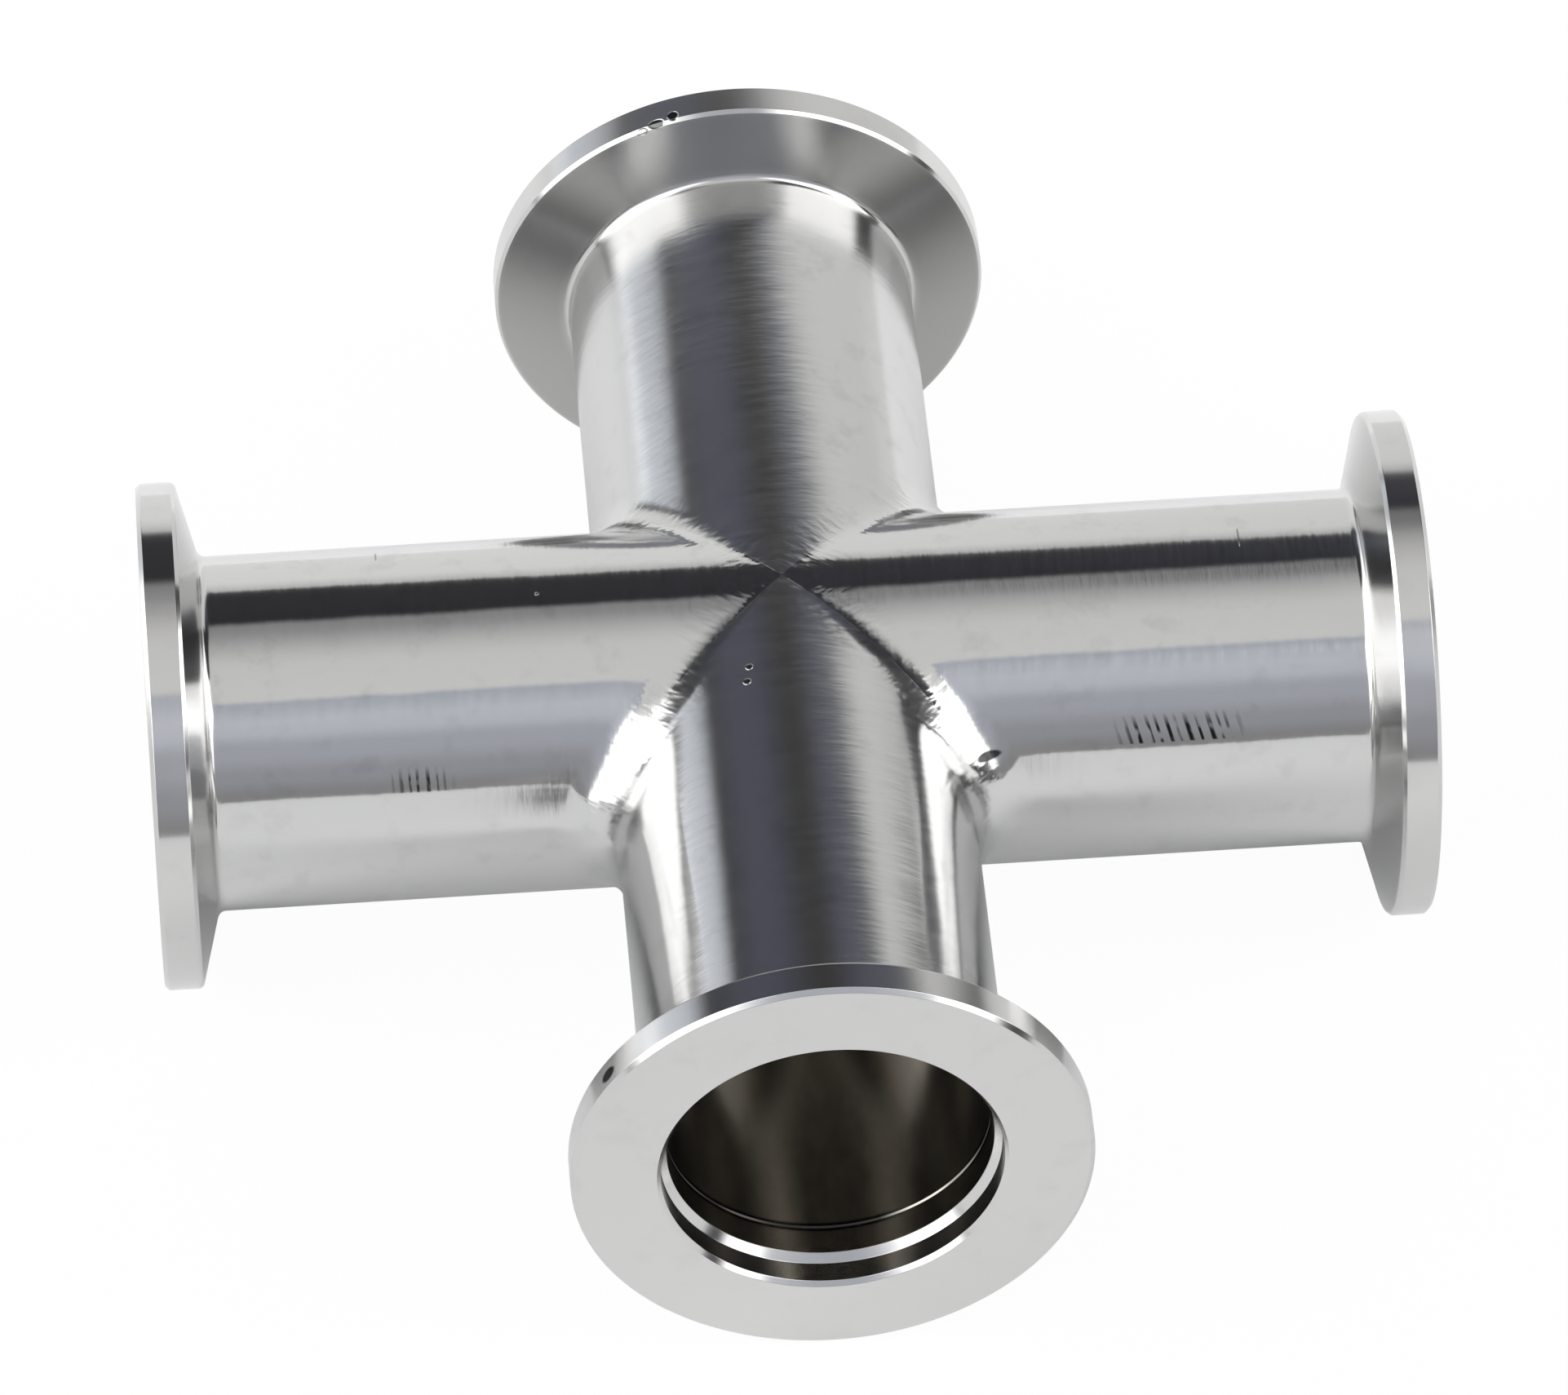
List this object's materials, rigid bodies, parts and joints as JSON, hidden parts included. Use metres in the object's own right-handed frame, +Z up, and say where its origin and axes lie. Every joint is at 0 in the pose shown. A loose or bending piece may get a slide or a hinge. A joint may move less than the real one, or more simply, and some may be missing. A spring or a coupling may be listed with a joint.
{
  "type": "pipe cross",
  "caption": "Polished steel pipe cross with a clamp flange on every arm, for joining vacuum lines at right angles.",
  "frame": {"origin": "where the axes of the four arms cross, at the middle of the box", "axes": "+X along the right arm, +Y along the back arm, +Z up, square to the plane of the arms"},
  "size_m": [0.1, 0.1, 0.04],
  "materials": {
    "polished_tube": "polished",
    "turned_flange": "fine turned and polished"
  },
  "bodies": {
    "root": {"cross_body": "polished_tube", "flange_right": "turned_flange", "flange_back": "turned_flange", "flange_left": "turned_flange", "flange_front": "turned_flange"}
  },
  "joints": []
}
